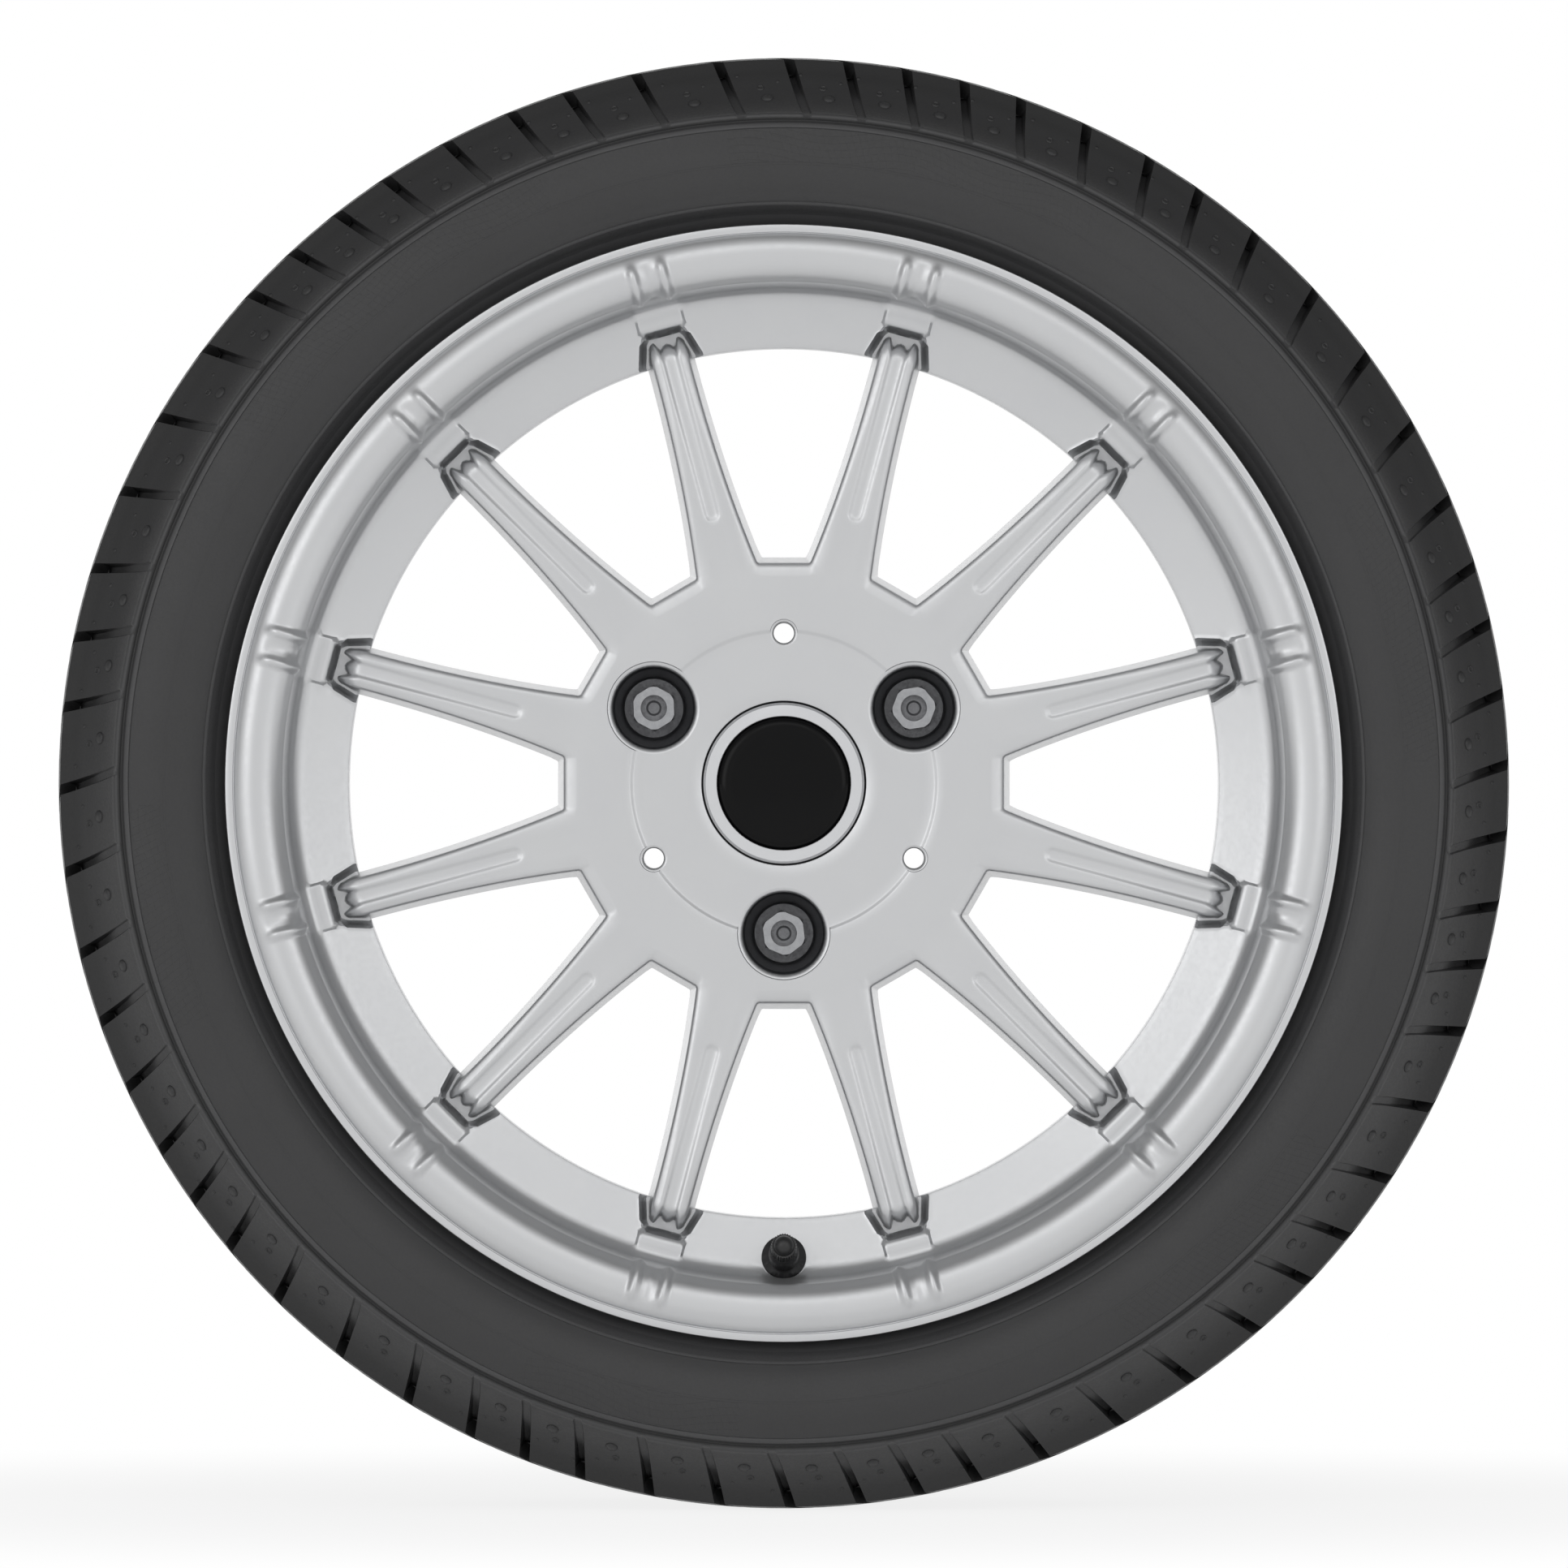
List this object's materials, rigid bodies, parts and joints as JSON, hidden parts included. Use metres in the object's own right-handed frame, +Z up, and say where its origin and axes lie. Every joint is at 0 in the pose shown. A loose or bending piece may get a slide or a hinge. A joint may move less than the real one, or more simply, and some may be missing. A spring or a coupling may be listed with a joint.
{
  "type": "alloy wheel with tyre",
  "caption": "Cast alloy road wheel with slim ribbed spokes, rolled lip, fitted tyre, clip-in centre cap, flanged wheel bolts and snap-in rubber valve.",
  "frame": {"origin": "the wheel's centre: on the axle line, in the middle of the rim's width", "axes": "+Y along the axle towards the car, so the outer face with the spokes looks towards -Y; +Z up, with the valve at the bottom; +X to the right seen from outside"},
  "size_m": [0.542, 0.196, 0.542],
  "materials": {
    "silver_paint": "satin silver lacquer",
    "tyre_rubber": "matt moulded rubber",
    "silver_plastic": "silver lacquered plastic",
    "black_gloss": "high gloss",
    "spring_steel": "bright wire",
    "coated_steel": "dark zinc flake coating",
    "valve_rubber": "smooth moulded rubber",
    "brass": "plain brass",
    "red_seal": "smooth",
    "black_plastic": "moulded"
  },
  "bodies": {
    "wheel_body": {"wheel": "silver_paint", "tyre": "tyre_rubber", "cap_body": "silver_plastic", "cap_disc": "black_gloss", "cap_wire": "spring_steel", "bolt_1": "coated_steel", "bolt_2": "coated_steel", "bolt_3": "coated_steel", "valve_rubber": "valve_rubber", "valve_stem": "brass", "core_body": "brass", "core_seal": "red_seal", "core_spring": "spring_steel"},
    "pin": {"core_pin": "brass"},
    "cap": {"valve_cap": "black_plastic", "valve_cap_seal": "valve_rubber"}
  },
  "joints": [
    {"name": "valve_pin_press", "type": "slide", "parent": "wheel_body", "child": "pin", "axis": [0, 0.9703, -0.2419], "range_m": [0, 0.0015], "stiffness_N_per_m": 900, "springref_m": -0.0008},
    {"name": "valve_cap_off", "type": "slide", "parent": "wheel_body", "child": "cap", "axis": [0, -0.9703, 0.2419], "range_m": [0, 0.012]}
  ]
}
